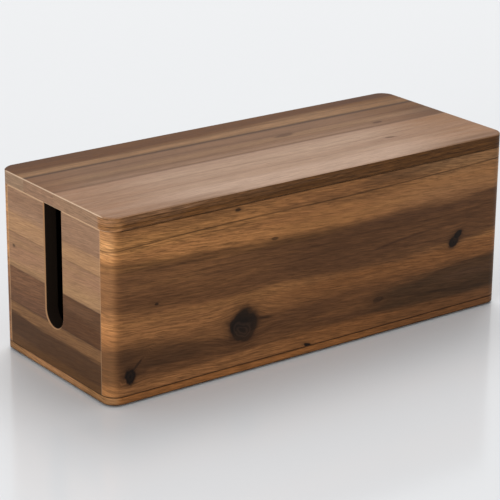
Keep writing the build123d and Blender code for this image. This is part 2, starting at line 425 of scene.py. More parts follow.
def flowRound(tree, laid, across, knots):
    # the grain runs round each knot as water runs round a stone; also gives each knot's own coordinates,
    # made uneven for its outline
    flowing = across
    outlines = []
    for knot in knots:
        around = addNode(tree, 'Mapping', {
            'vector_type': 'TEXTURE',
            'Location': (*knot['at'], 0),
            'Rotation': (0, 0, math.radians(knot.get('turn', 0))),
            'Scale': (*knot['size'], 1),
        }, {'Vector': laid})
        # the depth through the board is left out
        around = addNode(tree, 'VectorMath', {'operation': 'MULTIPLY', 1: (1, 1, 0)}, {0: around})
        uneven = addNode(tree, 'TexNoise', {'Scale': knotShape['waves'] / knot['size'][0]},
                         {'Vector': laid})
        most = knotShape['unevenness']
        outline = addNode(tree, 'VectorMath', {'operation': 'MULTIPLY_ADD', 1: (most, most, 0)},
                          {0: uneven.outputs['Color'], 2: around})
        outline = addNode(tree, 'VectorMath', {'operation': 'SUBTRACT', 1: (most / 2, most / 2, 0)},
                          {0: outline})
        outlines.append((knot, outline))

        # the lines are pushed off the knot, less and less the further out they run
        wide = addNode(tree, 'VectorMath', {'operation': 'MULTIPLY', 1: (*knotShape['flow'], 0)},
                       {0: around})
        squared = addNode(tree, 'VectorMath', {'operation': 'DOT_PRODUCT'}, {0: wide, 1: wide})
        fade = addNode(tree, 'Math', {'operation': 'ADD', 1: 1.0}, {0: squared.outputs['Value']})
        fade = addNode(tree, 'Math', {'operation': 'POWER', 1: 2.0}, {0: fade})
        offset = addNode(tree, 'Math', {'operation': 'SUBTRACT', 1: knot['at'][1]}, {0: across})
        push = addNode(tree, 'Math', {'operation': 'DIVIDE'}, {0: offset, 1: fade})
        flowing = addNode(tree, 'Math', {'operation': 'SUBTRACT'}, {0: flowing, 1: push})
    return flowing, outlines


def knotLayer(tree, knot, outline):
    # a dark heart off the middle, grey-brown rings, a nearly black bark line and a soft brown halo
    size = addNode(tree, 'VectorMath', {'operation': 'LENGTH'}, {0: outline})
    inward = addNode(tree, 'Math', {'operation': 'SUBTRACT', 'use_clamp': True, 0: 1.0},
                     {1: size.outputs['Value']})
    heart = addNode(tree, 'VectorMath', {'operation': 'SCALE', 0: (*knot.get('heartAt', (0, 0)), 0)},
                    {'Scale': inward})
    ringed = addNode(tree, 'VectorMath', {'operation': 'SUBTRACT'}, {0: outline, 1: heart})
    radius = addNode(tree, 'VectorMath', {'operation': 'LENGTH'}, {0: ringed})
    way = addNode(tree, 'MapRange', {'From Max': knotShape['reach']}, {'Value': radius.outputs['Value']})
    ramp = addNode(tree, 'ValToRGB', {}, {0: way})
    elements = ramp.color_ramp.elements
    while len(elements) < len(knotShape['stops']):
        elements.new(0.5)
    for element, (at, part, strength) in zip(elements, knotShape['stops']):
        element.position = at
        element.color = linear(knot[part])[:3] + [strength * knot.get('strength', 1.0)]
    height = addNode(tree, 'SeparateXYZ', {}, {0: outline}).outputs['Y']
    low, high = knotShape['lowerSide']
    least = knot.get('lowerStrength', 1.0)
    shown = addNode(tree, 'MapRange', {'From Min': low, 'From Max': high, 'To Min': least},
                    {'Value': height})
    return together(tree, [ramp.outputs['Alpha'], shown]), ramp.outputs['Color'], 'MIX'


def boardPlace(tree, board, spot):
    # a board's own coordinates: along it, across it and through it; and the share of its upright faces,
    # where it lies flat
    axes = addNode(tree, 'SeparateXYZ', {}, {0: spot}).outputs
    along, across, through = (axes[axis] for axis in board['axes'])
    if board.get('roundCorners'):
        # the lines run on round the board's rounded corners: along its face, then along its two ends
        inward = addNode(tree, 'Math', {'operation': 'ABSOLUTE'}, {0: through})
        inward = addNode(tree, 'Math', {'operation': 'SUBTRACT', 0: boxSize['halfWidth']}, {1: inward})
        longer = addNode(tree, 'Math', {'operation': 'MULTIPLY_ADD', 1: 1 / boxSize['halfLength'], 2: 1.0},
                         {0: inward})
        along = together(tree, [along, longer])
    place = addNode(tree, 'CombineXYZ', {}, {0: along, 1: across, 2: through})
    if 'upright' not in board:
        return place, along, across, through, None

    # the lines on a flat board's upright faces run level, on round the corners
    upright = uprightShare(tree, axes['Z'], *board['upright'])
    girth = addNode(tree, 'Math', {'operation': 'SUBTRACT'}, {0: axes['X'], 1: axes['Y']})
    side = addNode(tree, 'CombineXYZ', {}, {0: girth, 1: axes['Z']})
    place = addNode(tree, 'Mix', {'data_type': 'VECTOR'}, {0: upright, 4: place, 5: side}).outputs[1]
    along, across, through = addNode(tree, 'SeparateXYZ', {}, {0: place}).outputs
    # the bands drawn for the left end, the front and the right end keep off the rear
    rearFrom = boxSize['halfWidth'] - walnut['rearEdge']
    behind = addNode(tree, 'Math', {'operation': 'GREATER_THAN', 1: rearFrom}, {0: axes['Y']})
    rear = together(tree, [behind, upright])
    along = addNode(tree, 'Math', {'operation': 'MULTIPLY_ADD', 1: walnut['rearShift']},
                    {0: rear, 2: along})
    return place, along, across, through, upright


def swayed(tree, across, place, board, name):
    # moves the lines of the grain up and down by one of walnut's patterns
    w = walnut[name]
    pattern = flecks(tree, place, w['size'], board['seed'] + w['seed'])
    sway = addNode(tree, 'Math', {'operation': 'SUBTRACT', 1: 0.5}, {0: pattern})
    return addNode(tree, 'Math', {'operation': 'MULTIPLY_ADD', 1: w['reach']}, {0: sway, 2: across})


def lineClearness(tree, board, colour, along, across, upright):
    # how far the fine lines show: less on dark wood, and as a board's edge and its calm bands say
    bright = addNode(tree, 'RGBToBW', {}, {'Color': colour})
    low, high = walnut['clearFrom']
    clear = addNode(tree, 'MapRange', {
        'From Min': low, 'From Max': high,
        'To Min': board['clear'] * walnut['darkClear'], 'To Max': board['clear'],
    }, {'Value': bright})
    changes = []
    if upright is not None:
        changes.append((upright, board['edgeClear']))
    for calm in board.get('calm', []):
        changes.append((bandShare(tree, along, across, calm), calm['clear']))
    for share, changed in changes:
        clear = addNode(tree, 'Mix', {'data_type': 'FLOAT', 3: changed}, {0: share, 2: clear})
    return clear


def oiledWalnut(board):
    # walnut, planed, sanded and oiled: golden sapwood against dark heartwood, with fine lines along the
    # grain, dashes of open pore and a soft shine that is duller in the pores
    material, tree = startMaterial("oiled walnut, " + board['name'])
    spot = spotInMm(tree)
    place, along, across, through, upright = boardPlace(tree, board, spot)

    # the grain ripples, gives way to the knots and wanders; its fibres run a little slanted to it
    rippled = swayed(tree, across, place, board, 'ripple')
    flowing, outlines = flowRound(tree, place, rippled, board.get('knots', []))
    wandering = swayed(tree, flowing, place, board, 'wander')
    ragged = swayed(tree, rippled, place, board, 'ragged')
    grain = addNode(tree, 'CombineXYZ', {}, {0: along, 1: wandering, 2: through})
    slanted = addNode(tree, 'Math', {'operation': 'MULTIPLY_ADD', 1: board.get('slant', walnut['slant'])},
                      {0: along, 2: wandering})
    fibres = addNode(tree, 'CombineXYZ', {}, {0: along, 1: slanted, 2: through})
    plain, given = {}, {}
    for name, lines in (('tone', grain), ('patchy', grain), ('latewood', grain),
                        ('growth', fibres), ('fibre', fibres), ('pores', fibres)):
        plain[name], given[name] = risingPattern(tree, lines, walnut[name], board['seed'])

    # the broad colours: two tones of wood, then the bands and veins drawn for this board
    layers = [(given['tone'], board['deep'], 'MIX')]
    figures = [(figure, None) for figure in board.get('figure', [])]
    figures += [(figure, upright) for figure in board.get('edgeFigure', [])]
    for figure, face in figures:
        share = markShare(tree, along, rippled if 'line' in figure else ragged, figure)
        share = addNode(tree, 'Math', {'operation': 'MULTIPLY', 'use_clamp': True},
                        {0: share, 1: given['patchy']})
        layers.append((together(tree, [share, face]), figure['colour'], 'MIX'))
    colour = layered(tree, board['light'], layers)

    # the fine lines lighten and darken whatever colour they cross
    clear = lineClearness(tree, board, colour, along, across, upright)
    layers = [(clear, given['growth'], 'MULTIPLY'), (clear, given['fibre'], 'MULTIPLY')]
    for name in ('latewood', 'pores'):
        layers.append((together(tree, [given[name], clear]), walnut['darkLines'], 'MIX'))

    # over them lie the knots, the painted highlights and sheen, and the joints with the painted light and
    # shade along the edges
    layers += [knotLayer(tree, knot, outline) for knot, outline in outlines]
    for paintedPatch in board.get('paintedLight', []):
        share = together(tree, [markShare(tree, along, across, paintedPatch), upright])
        if 'factors' in paintedPatch:
            layers.append((share, (*paintedPatch['factors'], 1), 'MULTIPLY'))
        else:
            layers.append((share, paintedPatch['colour'], 'MIX'))
    flat = upright
    if upright is not None:
        flat = addNode(tree, 'Math', {'operation': 'SUBTRACT', 0: 1.0}, {1: upright})
    # the joints, and the painted highlight and shade along edges, gaps and grooves
    for seam in board.get('seams', []):
        face = upright if seam.get('edge') else flat
        layers.append((together(tree, [markShare(tree, along, across, seam), face]), seam['colour'], 'MIX'))

    deepest = walnut['pores']['gives'][1]
    least, most = walnut['roughness']
    rough = addNode(tree, 'MapRange', {'From Max': deepest, 'To Min': least, 'To Max': most},
                    {'Value': given['pores']})
    if board.get('stained'):
        insideLayers, dark = insideDarkness(tree, spot)
        layers += insideLayers
        rough = addNode(tree, 'Mix', {'data_type': 'FLOAT', 3: stain['roughness']}, {0: dark, 2: rough})
    relief = addNode(tree, 'Math', {'operation': 'SUBTRACT'}, {0: plain['growth'], 1: given['pores']})
    bump = addNode(tree, 'Bump', {'Strength': walnut['bumpStrength'], 'Distance': walnut['bumpHeight']},
                   {'Height': relief})
    shader = addNode(tree, 'BsdfPrincipled', {'IOR': walnut['ior'], 'Specular IOR Level': walnut['gloss']},
                     {'Base Color': layered(tree, colour, layers), 'Roughness': rough, 'Normal': bump})
    addNode(tree, 'OutputMaterial', {}, {'Surface': shader})
    return material


darkKnot = {'heart': '#140D09', 'ring': '#241810', 'bark': '#2E1D11'}
ringedKnot = {'heart': '#18110C', 'ring': '#2E2119', 'bark': '#2C1C11'}
lidKnot = {'heart': '#4A2C17', 'ring': '#5A3A22', 'bark': '#5E3D24'}

# the rounded corners carry a painted highlight: brighter than the flat face, paler higher up and a little
# darker low down; factors multiply the red, green and blue of the wood
cornerHighlightLayers = [
    {'factors': (1.52, 1.48, 1.40)},
    {'lower': 48, 'soft': 34, 'factors': (1.08, 1.15, 1.26)},
    {'lower': 116, 'soft': 12, 'factors': (1.03, 1.10, 1.26)},
    {'upper': 34, 'soft': 12, 'factors': (0.86, 0.88, 0.88)},
    {'colour': '#A87B50', 'strength': 0.12},
]
highlightReach = 9.5              # mm along a board, in from each end
highlightFrom = boxSize['halfLength'] - highlightReach
cornerHighlightMarks = [{**wear, **end, 'fade': highlightReach}
                for end in ({'to': -highlightFrom}, {'from': highlightFrom}) for wear in cornerHighlightLayers]

# a figure is drawn in mm: along the board from its middle and up from the desk, or towards the rear on
# the lid; its bands and lines lie over one another in the order given
frontBoard = {
    'name': 'front board', 'axes': 'XZY', 'seed': 2.0, 'stained': True, 'roundCorners': True,
    'light': '#9E6E40', 'deep': '#90613A', 'clear': 0.9,
    'figure': [
        # browner under the lid, with a shadow right of the middle, and palest just above the dark zone
        {'lower': [(-200, 129), (-60, 131), (0, 133), (200, 130)], 'soft': 9, 'colour': '#7E5632',
         'strength': 0.6},
        {'upper': [(-60, 134), (20, 141), (50, 143), (100, 141), (140, 134)],
         'lower': [(-60, 130), (0, 123), (50, 119), (100, 124), (140, 132)], 'soft': 7,
         'colour': '#664429', 'strength': 0.6},
        {'lower': [(0, 131), (60, 130), (110, 129), (160, 133)], 'soft': 9, 'from': 38, 'to': 178,
         'fade': 34, 'colour': '#573C26', 'strength': 0.85},
        {'lower': [(-140, 133), (-80, 132)], 'soft': 8, 'from': -138, 'to': -76, 'fade': 26,
         'colour': '#694628', 'strength': 0.5},
        {'lower': 120, 'soft': 14, 'from': 70, 'fade': 70, 'colour': '#84603F', 'strength': 0.85},
        {'upper': [(-170, 125), (-95, 125), (-30, 121)], 'lower': [(-170, 112), (-95, 107), (-30, 102)],
         'soft': (8, 3), 'from': -172, 'to': -20, 'fade': 34, 'colour': '#A97445', 'strength': 0.7},
        {'upper': 130, 'lower': 100, 'soft': (12, 4), 'from': 20, 'fade': 120, 'colour': '#8D6442',
         'strength': 0.75},
        # mid brown over the lower half, redder to the right
        {'upper': [(-200, 72), (200, 70)], 'soft': 14, 'colour': '#875B37'},
        {'upper': 68, 'soft': 8, 'from': -100, 'fade': 130, 'colour': '#7A4F2C', 'strength': 0.9},
        # the broad brown zone across the middle, darker and redder to the right
        {'upper': [(-200, 121), (-187, 120), (-147, 116), (-100, 112), (-60, 110), (-25, 108.5),
                   (12, 108), (50, 109.5), (125, 111), (187, 112)],
         'lower': [(-200, 61), (-130, 57), (-50, 56), (37, 56), (125, 57), (192, 60)], 'soft': (12, 20),
         'colour': '#69462B'},
        {'upper': [(-200, 94), (-130, 92), (-60, 88)], 'lower': [(-200, 74), (-130, 66), (-60, 62)],
         'soft': (8, 9), 'to': -40, 'fade': 40, 'colour': '#5A3A22', 'strength': 0.5},
        {'upper': [(-120, 112), (-40, 111), (12, 111), (50, 112), (125, 113), (187, 114)],
         'lower': [(-120, 80), (-40, 65), (37, 59), (125, 60), (192, 63)], 'soft': (16, 10), 'from': -140,
         'fade': 150, 'colour': '#573923', 'strength': 0.95},
        {'upper': [(0, 106), (50, 107.5), (125, 108), (187, 109)],
         'lower': [(0, 94), (125, 92), (187, 94)], 'soft': (6, 8), 'from': 0, 'fade': 70,
         'colour': '#493020', 'strength': 0.35},
        # it darkens again downwards, darkest in a cloud beside the big knot and in a wedge at the right
        {'upper': [(-200, 60), (-130, 56), (-60, 60), (37, 62), (125, 58), (200, 58)],
         'lower': [(-200, 12), (-88, 15), (37, 16), (120, 12), (200, 8)], 'soft': (26, 9),
         'colour': '#5A3B24'},
        {'upper': [(-200, 58), (-160, 54), (-120, 47), (-84, 42)],
         'lower': [(-200, 18), (-160, 20), (-120, 22), (-84, 24)], 'soft': (15, 9), 'to': -84, 'fade': 50,
         'colour': '#4A311E', 'strength': 0.95},
        {'upper': [(20, 38), (60, 44), (110, 50), (150, 53), (200, 54)],
         'lower': [(20, 28), (60, 18), (110, 14), (150, 13), (200, 12)], 'soft': (13, 8), 'from': 25,
         'fade': 60, 'colour': '#442F1D'},
        {'upper': [(90, 30), (140, 31), (200, 33)], 'lower': [(90, 22), (140, 19), (200, 17)],
         'soft': (6, 5), 'from': 80, 'fade': 60, 'colour': '#382514', 'strength': 0.6},
        {'upper': [(0, 20), (200, 18)], 'soft': 7, 'from': 20, 'fade': 90, 'colour': '#674429',
         'strength': 0.9},
        {'upper': [(120, 39), (150, 42), (200, 42)], 'lower': [(120, 31), (150, 31), (200, 32)],
         'from': 118, 'fade': 34, 'colour': '#523826', 'strength': 0.5},
        {'line': [(60, 33), (90, 30), (130, 26), (170, 22), (200, 19)], 'width': 2.2, 'from': 55,
         'fade': 30, 'colour': '#2A1B10', 'strength': 0.4},
        {'line': [(100, 38), (130, 43), (160, 46), (200, 47)], 'width': 2.4, 'from': 96, 'fade': 40,
         'colour': '#2E1E12', 'strength': 0.4},
        # veins
        {'line': [(-200, 126.3), (-167, 127.8), (-92, 129.3), (40, 129.3), (100, 130.3), (187, 132.8)],
         'width': 1.0, 'colour': '#3A2412', 'strength': 0.8},
        {'line': [(-200, 113.4), (-187, 112.8), (-147, 109.8), (-100, 107.5), (-60, 105.5),
                  (-25, 103.5), (60, 102)], 'width': 7.5, 'to': 60, 'fade': 80, 'colour': '#38240F',
         'strength': 0.46},
        {'line': [(-200, 114), (-187, 113), (-147, 110.6), (-100, 108.6), (-60, 106), (-25, 103)],
         'width': 1.6, 'to': 10, 'fade': 60, 'colour': '#2C1B10', 'strength': 0.3},
        {'line': [(-200, 109), (-160, 106.4), (-120, 105), (-80, 103.4), (-40, 102)], 'width': 1.6,
         'to': -30, 'fade': 60, 'colour': '#2C1B10', 'strength': 0.3},
        {'line': [(-140, 97), (-60, 95), (20, 92), (60, 90)], 'width': 1.4, 'from': -150, 'to': 60,
         'fade': 40, 'colour': '#3A2413', 'strength': 0.35},
        {'line': [(-40, 90), (40, 94), (110, 92), (200, 95)], 'width': 1.4, 'from': -40, 'fade': 40,
         'colour': '#3A2413', 'strength': 0.4},
        {'line': [(-60, 83), (40, 86), (130, 88), (200, 86)], 'width': 1.2, 'from': -60, 'fade': 40,
         'colour': '#3A2413', 'strength': 0.35},
        {'line': [(40, 73), (65, 78), (100, 81.5), (140, 83.5), (160, 84)], 'width': 1.8, 'from': 44,
         'to': 160, 'fade': 30, 'colour': '#2E1C12', 'strength': 0.6},
        {'line': [(-64, 44.6), (-56, 43.4), (-44, 42.4)], 'width': 2.8, 'from': -68, 'to': -40,
         'fade': 12, 'colour': '#24160D', 'strength': 0.85},
        {'line': [(-196, 26), (-181, 24.6), (-164, 24.8)], 'width': 2.4, 'from': -194, 'to': -164,
         'fade': 6, 'colour': '#2C1B11', 'strength': 0.7},
    ],
    # finer, fainter grain in the golden wood at the right
    'calm': [
        {'upper': 130, 'lower': 98, 'soft': 8, 'from': -90, 'fade': 70, 'clear': 0.5},
    ],
    # painted highlight on the rounded corners at both ends
    'paintedLight': cornerHighlightMarks,
    'knots': [
        {'at': (-74.6, 41.0), 'size': (13.6, 13.8), 'turn': 20, 'heartAt': (-0.36, -0.26),
         'lowerStrength': 0.8, **ringedKnot},
        {'at': (-181.8, 23.4), 'size': (4.8, 6.4), 'turn': 8, **darkKnot},
        {'at': (-176, 31), 'size': (6.4, 0.9), 'turn': 42, 'strength': 0.6, **darkKnot},
        {'at': (145.8, 66.6), 'size': (5.6, 4.4), 'turn': 25, **darkKnot},
        {'at': (150.6, 72.4), 'size': (4.6, 3.0), 'turn': 30, **darkKnot},
        {'at': (-9.5, 8.9), 'size': (4, 1.6), 'turn': -20, **darkKnot},
        {'at': (-80.8, 138.6), 'size': (2.6, 1.3), 'strength': 0.8, **darkKnot},
        {'at': (-44.5, 107.8), 'size': (3.4, 1.2), 'strength': 0.7, **darkKnot},
        {'at': (63.8, 32.3), 'size': (5, 2.5), 'turn': 10, 'strength': 0.5, **darkKnot},
        {'at': (-157, 77.5), 'size': (1.6, 1.1), 'strength': 0.8, **darkKnot},
    ],
    'seams': [
        # painted shade: a dark line in the gap under the lid and one in the groove above the base
        {'line': boxSize['wallTop'], 'width': 1.1, 'from': -194, 'fade': 6, 'colour': '#24150A',
         'strength': 0.65},
        {'line': boxSize['wallBottom'], 'width': 1.1, 'colour': '#24130A', 'strength': 0.85},
    ],
}
dress(['front_board'], oiledWalnut(frontBoard))

# a painted highlight where the boards' eased edges meet and along the walls' top edge below the lid; the
# glued joints are fine dark lines, and each of them stands at the top of its stave; a line of painted shade
# lies in the groove above the base
edgeHighlightAt = boxSize['innerY'] - 0.3
jointsAndEdgeLight = [
    {'cross': -edgeHighlightAt, 'width': 0.9, 'colour': '#C9A27C', 'strength': 0.35},
    {'cross': edgeHighlightAt, 'width': 0.9, 'colour': '#C9A27C', 'strength': 0.55},
    {'line': boxSize['staveJoints'][0], 'width': 1.0, 'colour': '#3C281A', 'strength': 0.55},
    {'line': boxSize['staveJoints'][1], 'width': 0.9, 'colour': '#4E3625', 'strength': 0.45},
    {'line': boxSize['staveJoints'][2], 'width': 0.9, 'colour': '#6E5038', 'strength': 0.5},
    {'line': boxSize['wallTop'], 'width': 0.9, 'colour': '#D8B794', 'strength': 0.8},
    {'line': boxSize['wallBottom'], 'width': 1.0, 'colour': '#2C190C', 'strength': 0.7},
]


def dressEnd(side, staves):
    # staves at the same level, on the two sides of the slot, are of one piece of wood
    for level, stave in staves.items():
        stave.update(axes='YZX', stained=True, seams=jointsAndEdgeLight)
        dress([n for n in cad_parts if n.startswith(f'{side}_{level}')], oiledWalnut(stave))


leftTopStaves = {
    'name': 'left top staves', 'seed': 31.0, 'clear': 0.4,
    'light': '#94735A', 'deep': '#8A6951',
    'figure': [
        {'upper': [(-80, 121), (0, 123), (80, 125)], 'soft': 8, 'colour': '#A67F5A', 'strength': 0.85},
    ],
}
leftMiddleStaves = {
    'name': 'left middle staves', 'seed': 35.0, 'clear': 0.4,
    'light': '#9A7754', 'deep': '#946F54',
    'figure': [
        {'upper': 107, 'lower': 98, 'soft': (1, 7), 'colour': '#8B6A50', 'strength': 0.6},
        {'upper': [(-80, 80), (-28, 79), (80, 79)], 'soft': 7, 'colour': '#6C4D37', 'strength': 0.75},
        {'upper': 105, 'lower': [(-80, 92), (80, 96)], 'soft': (2, 6), 'from': 14, 'fade': 6,
         'colour': '#8C6950', 'strength': 0.7},
    ],
    'knots': [{'at': (60, 93), 'size': (1.8, 1.1), 'strength': 0.6, **darkKnot}],
}
leftLowStaves = {
    'name': 'left low staves', 'seed': 39.0, 'clear': 0.8,
    'light': '#5F412A', 'deep': '#543720',
    'figure': [
        {'upper': [(-80, 60), (-28, 63), (80, 64)], 'soft': 6, 'colour': '#4D2F18', 'strength': 0.7},
        {'from': 0, 'fade': 20, 'colour': '#79553C', 'strength': 0.7},
        {'upper': 60, 'soft': 8, 'from': 0, 'fade': 20, 'colour': '#5F412D', 'strength': 0.8},
    ],
}
leftBottomStave = {
    'name': 'left bottom stave', 'seed': 43.0, 'clear': 0.6,
    'light': '#4C331F', 'deep': '#452C17',
    'figure': [
        {'lower': [(-80, 30), (0, 32), (80, 34)], 'soft': 6, 'colour': '#7B5838', 'strength': 0.95},
        {'lower': 42, 'soft': 2, 'colour': '#5A3E28', 'strength': 0.6},
        {'upper': [(-80, 17), (0, 18), (80, 19)], 'soft': 6, 'colour': '#5A3C20', 'strength': 0.8},
    ],
}
dressEnd('left', {
    'top': leftTopStaves,
    'middle': leftMiddleStaves,
    'low': leftLowStaves,
    'bottom': leftBottomStave,
})

rightTopStaves = {
    'name': 'right top staves', 'seed': 91.0, 'clear': 0.8,
    'light': '#8E643F', 'deep': '#7E5735',
    'figure': [
        {'upper': [(-80, 120), (0, 118), (80, 121)], 'soft': 6, 'colour': '#6E4A2E', 'strength': 0.8},
        {'line': [(-80, 131), (0, 129), (80, 132)], 'width': 1.2, 'colour': '#3A2413', 'strength': 0.5},
    ],
}
rightMiddleStaves = {
    'name': 'right middle staves', 'seed': 95.0, 'clear': 0.8,
    'light': '#684529', 'deep': '#573820',
    'figure': [
        {'upper': [(-80, 90), (0, 92), (80, 89)], 'soft': 6, 'colour': '#7D5636', 'strength': 0.8},
    ],
    'knots': [{'at': (-42, 97), 'size': (3.2, 2.4), 'turn': 20, **darkKnot}],
}
rightLowStaves = {
    'name': 'right low staves', 'seed': 99.0, 'clear': 0.8,
    'light': '#96693E', 'deep': '#845934',
    'figure': [
        {'lower': [(-80, 62), (0, 65), (80, 63)], 'soft': 7, 'colour': '#6E4A2C', 'strength': 0.8},
        {'line': [(-80, 56), (0, 58), (80, 55)], 'width': 1.4, 'colour': '#3A2413', 'strength': 0.5},
    ],
}
rightBottomStave = {
    'name': 'right bottom stave', 'seed': 103.0, 'clear': 0.8,
    'light': '#6A4629', 'deep': '#553720',
    'figure': [
        {'lower': [(-80, 33), (0, 31), (80, 34)], 'soft': 6, 'colour': '#86603C', 'strength': 0.8},
    ],
}
dressEnd('right', {
    'top': rightTopStaves,
    'middle': rightMiddleStaves,
    'low': rightLowStaves,
    'bottom': rightBottomStave,
})

lidFrontStave = {
    'name': 'lid front stave', 'seed': 51.0, 'clear': 0.3,
    'light': '#B1927A', 'deep': '#A88870',
    'figure': [
        {'lower': [(-200, -18), (0, -20), (200, -16)], 'soft': 14, 'colour': '#A2816A', 'strength': 0.7},
        {'upper': [(-200, -30), (0, -32), (200, -30)], 'lower': [(-200, -46), (0, -48), (200, -46)],
         'soft': 6, 'colour': '#A4836B', 'strength': 0.8},
        {'upper': -50, 'soft': 8, 'colour': '#BB9C86', 'strength': 0.8},
        {'from': 80, 'fade': 110, 'colour': '#8A5E36', 'strength': 0.75},
        {'upper': -66, 'soft': 8, 'to': -50, 'fade': 70, 'colour': '#86654B', 'strength': 0.7},
        {'upper': -66, 'soft': 8, 'from': 60, 'fade': 110, 'colour': '#7A5B43', 'strength': 0.75},
        {'upper': [(0, -30), (200, -28)], 'lower': [(0, -48), (200, -46)], 'soft': 6, 'from': 20,
         'fade': 100, 'colour': '#96735A', 'strength': 0.6},
        {'to': -90, 'fade': 100, 'colour': '#966E50', 'strength': 0.8},
        {'line': [(-180, -26), (-60, -24), (60, -27), (190, -22)], 'width': 1.8, 'colour': '#7A5A44',
         'strength': 0.35},
        {'line': [(-180, -44), (-60, -41), (60, -45), (190, -42)], 'width': 1.8, 'colour': '#80604A',
         'strength': 0.35},
    ],
    # along the edges, a place is x - y: -280 at the rear left corner, -120 at the front left one and 280
    # at the front right one
    'edgeFigure': [
        {'from': -120, 'fade': 14, 'colour': '#6B4522'},
        {'from': -60, 'fade': 120, 'colour': '#573719'},
        {'from': -140, 'to': -104, 'fade': 8, 'colour': '#8E623A', 'strength': 0.9},
        {'to': -133, 'fade': 4, 'colour': '#92735A'},
        {'line': [(-125, 145.6), (0, 146.4), (120, 145.4), (280, 146)], 'width': 1.1, 'from': -128,
         'fade': 12, 'colour': '#341F0E', 'strength': 0.5},
        {'line': [(-125, 149.6), (-20, 149), (110, 149.8), (280, 149.2)], 'width': 0.9, 'from': -128,
         'fade': 12, 'colour': '#341F0E', 'strength': 0.45},
    ],
    # painted sheen: the lid's left end is washed paler over its grain
    'paintedLight': [{'to': -133, 'fade': 4, 'colour': '#92735A', 'strength': 0.45}],
    'knots': [
        {'at': (111, -34), 'size': (5, 1.4), 'turn': -8, 'strength': 0.7, **lidKnot},
    ],
    'seams': [
        {'line': boxSize['lidFrontJoint'], 'width': 3.6, 'colour': '#5E3E24', 'strength': 0.55},
    ],
}
lidMiddleStave = {
    'name': 'lid middle stave', 'seed': 55.0, 'clear': 0.35,
    'light': '#866246', 'deep': '#7C5A40',
    'figure': [
        {'upper': [(-200, 9), (0, 10), (200, 8)], 'soft': 8, 'colour': '#94735A', 'strength': 0.8},
        {'upper': 24, 'lower': 10, 'soft': 5, 'colour': '#92704F', 'strength': 0.5},
        {'lower': 16, 'soft': 8, 'from': 90, 'fade': 95, 'colour': '#6A431C', 'strength': 0.85},
        {'upper': [(0, 14), (200, 12)], 'soft': 8, 'from': 90, 'fade': 95, 'colour': '#6C4524',
         'strength': 0.8},
        {'upper': [(0, 32), (200, 30)], 'soft': 8, 'from': 150, 'fade': 50, 'colour': '#4E2F14',
         'strength': 0.55},
        {'to': -150, 'fade': 60, 'colour': '#7A5131', 'strength': 0.8},
        {'line': [(-180, 26), (-60, 28), (60, 24), (190, 27)], 'width': 2.4, 'colour': '#54361F',
         'strength': 0.35},
        {'line': [(-180, 12), (-60, 10), (60, 13), (190, 9)], 'width': 1.8, 'colour': '#54361F',
         'strength': 0.3},
    ],
    'edgeFigure': [
        {'to': 0, 'fade': 4, 'colour': '#8C6C54', 'strength': 0.9},
    ],
    # painted sheen: the lid's left end is washed paler over its grain
    'paintedLight': [{'to': 0, 'fade': 6, 'colour': '#92745E', 'strength': 0.45}],
    'knots': [
        {'at': (41, 21), 'size': (10, 2.6), 'turn': 8, 'strength': 0.7, **lidKnot},
        {'at': (131, 7), 'size': (5, 1.8), 'turn': 6, 'strength': 0.8, **lidKnot},
    ],
    'seams': [
        {'line': boxSize['lidFrontJoint'], 'width': 3.6, 'colour': '#5E3E24', 'strength': 0.55},
        {'line': boxSize['lidRearJoint'], 'width': 4.4, 'colour': '#3A2210', 'strength': 0.8},
    ],
}
lidRearStave = {
    'name': 'lid rear stave', 'seed': 59.0, 'clear': 0.5,
    'light': '#663E14', 'deep': '#5C350F',
    'figure': [
        {'upper': [(-200, 60), (-100, 60), (20, 64), (100, 68), (200, 62)], 'soft': 12,
         'colour': '#936D49'},
        {'lower': 66, 'to': -60, 'fade': 120, 'colour': '#543010', 'strength': 0.8},
        {'from': 100, 'fade': 80, 'colour': '#744C22', 'strength': 0.5},
        {'lower': 64, 'from': 90, 'fade': 80, 'colour': '#4A2609', 'strength': 0.85},
        {'upper': 50, 'soft': 8, 'from': 60, 'fade': 60, 'colour': '#845E38', 'strength': 0.5},
        {'line': [(-180, 57), (-60, 55), (60, 58), (190, 55)], 'width': 2.2, 'colour': '#5E3D20',
         'strength': 0.5},
    ],
    'edgeFigure': [
        {'to': -236, 'fade': 4, 'colour': '#957A62', 'strength': 0.9},
        {'from': 300, 'fade': 1, 'colour': '#6E4A28'},
        {'from': 330, 'fade': 300, 'colour': '#553719', 'strength': 0.9},
    ],
    # painted sheen: the lid's left end is washed paler over its grain
    'paintedLight': [{'to': -236, 'fade': 6, 'colour': '#957A62', 'strength': 0.45}],
    'seams': [
        {'line': boxSize['lidRearJoint'], 'width': 4.4, 'colour': '#3A2210', 'strength': 0.8},
    ],
}

# the lid's upright faces stand between these heights
lidEdge = (boxSize['wallTop'] + 0.02, boxSize['lidTop'] - 0.8)
# painted light along the lid's edges: a painted highlight on its lower edge at the left end, painted shade
# in the gap below its lower edge elsewhere, and a painted highlight on its top left edge
lidEdgeLight = [
    {'line': boxSize['wallTop'], 'width': 1.0, 'to': -116, 'fade': 8, 'colour': '#D8B794',
     'strength': 0.8, 'edge': True},
    {'line': boxSize['wallTop'], 'width': 1.1, 'from': -116, 'fade': 8, 'colour': '#24150A',
     'strength': 0.65, 'edge': True},
    {'cross': -boxSize['halfLength'], 'width': 1.0, 'colour': '#E6CCB0', 'strength': 0.8},
]
for name, stave in (('lid_front_stave', lidFrontStave), ('lid_middle_stave', lidMiddleStave),
                    ('lid_rear_stave', lidRearStave)):
    stave['seams'] += lidEdgeLight
    stave.update(axes='XYZ', upright=lidEdge, edgeClear=1.0, slant=0.0)
    dress([name], oiledWalnut(stave))
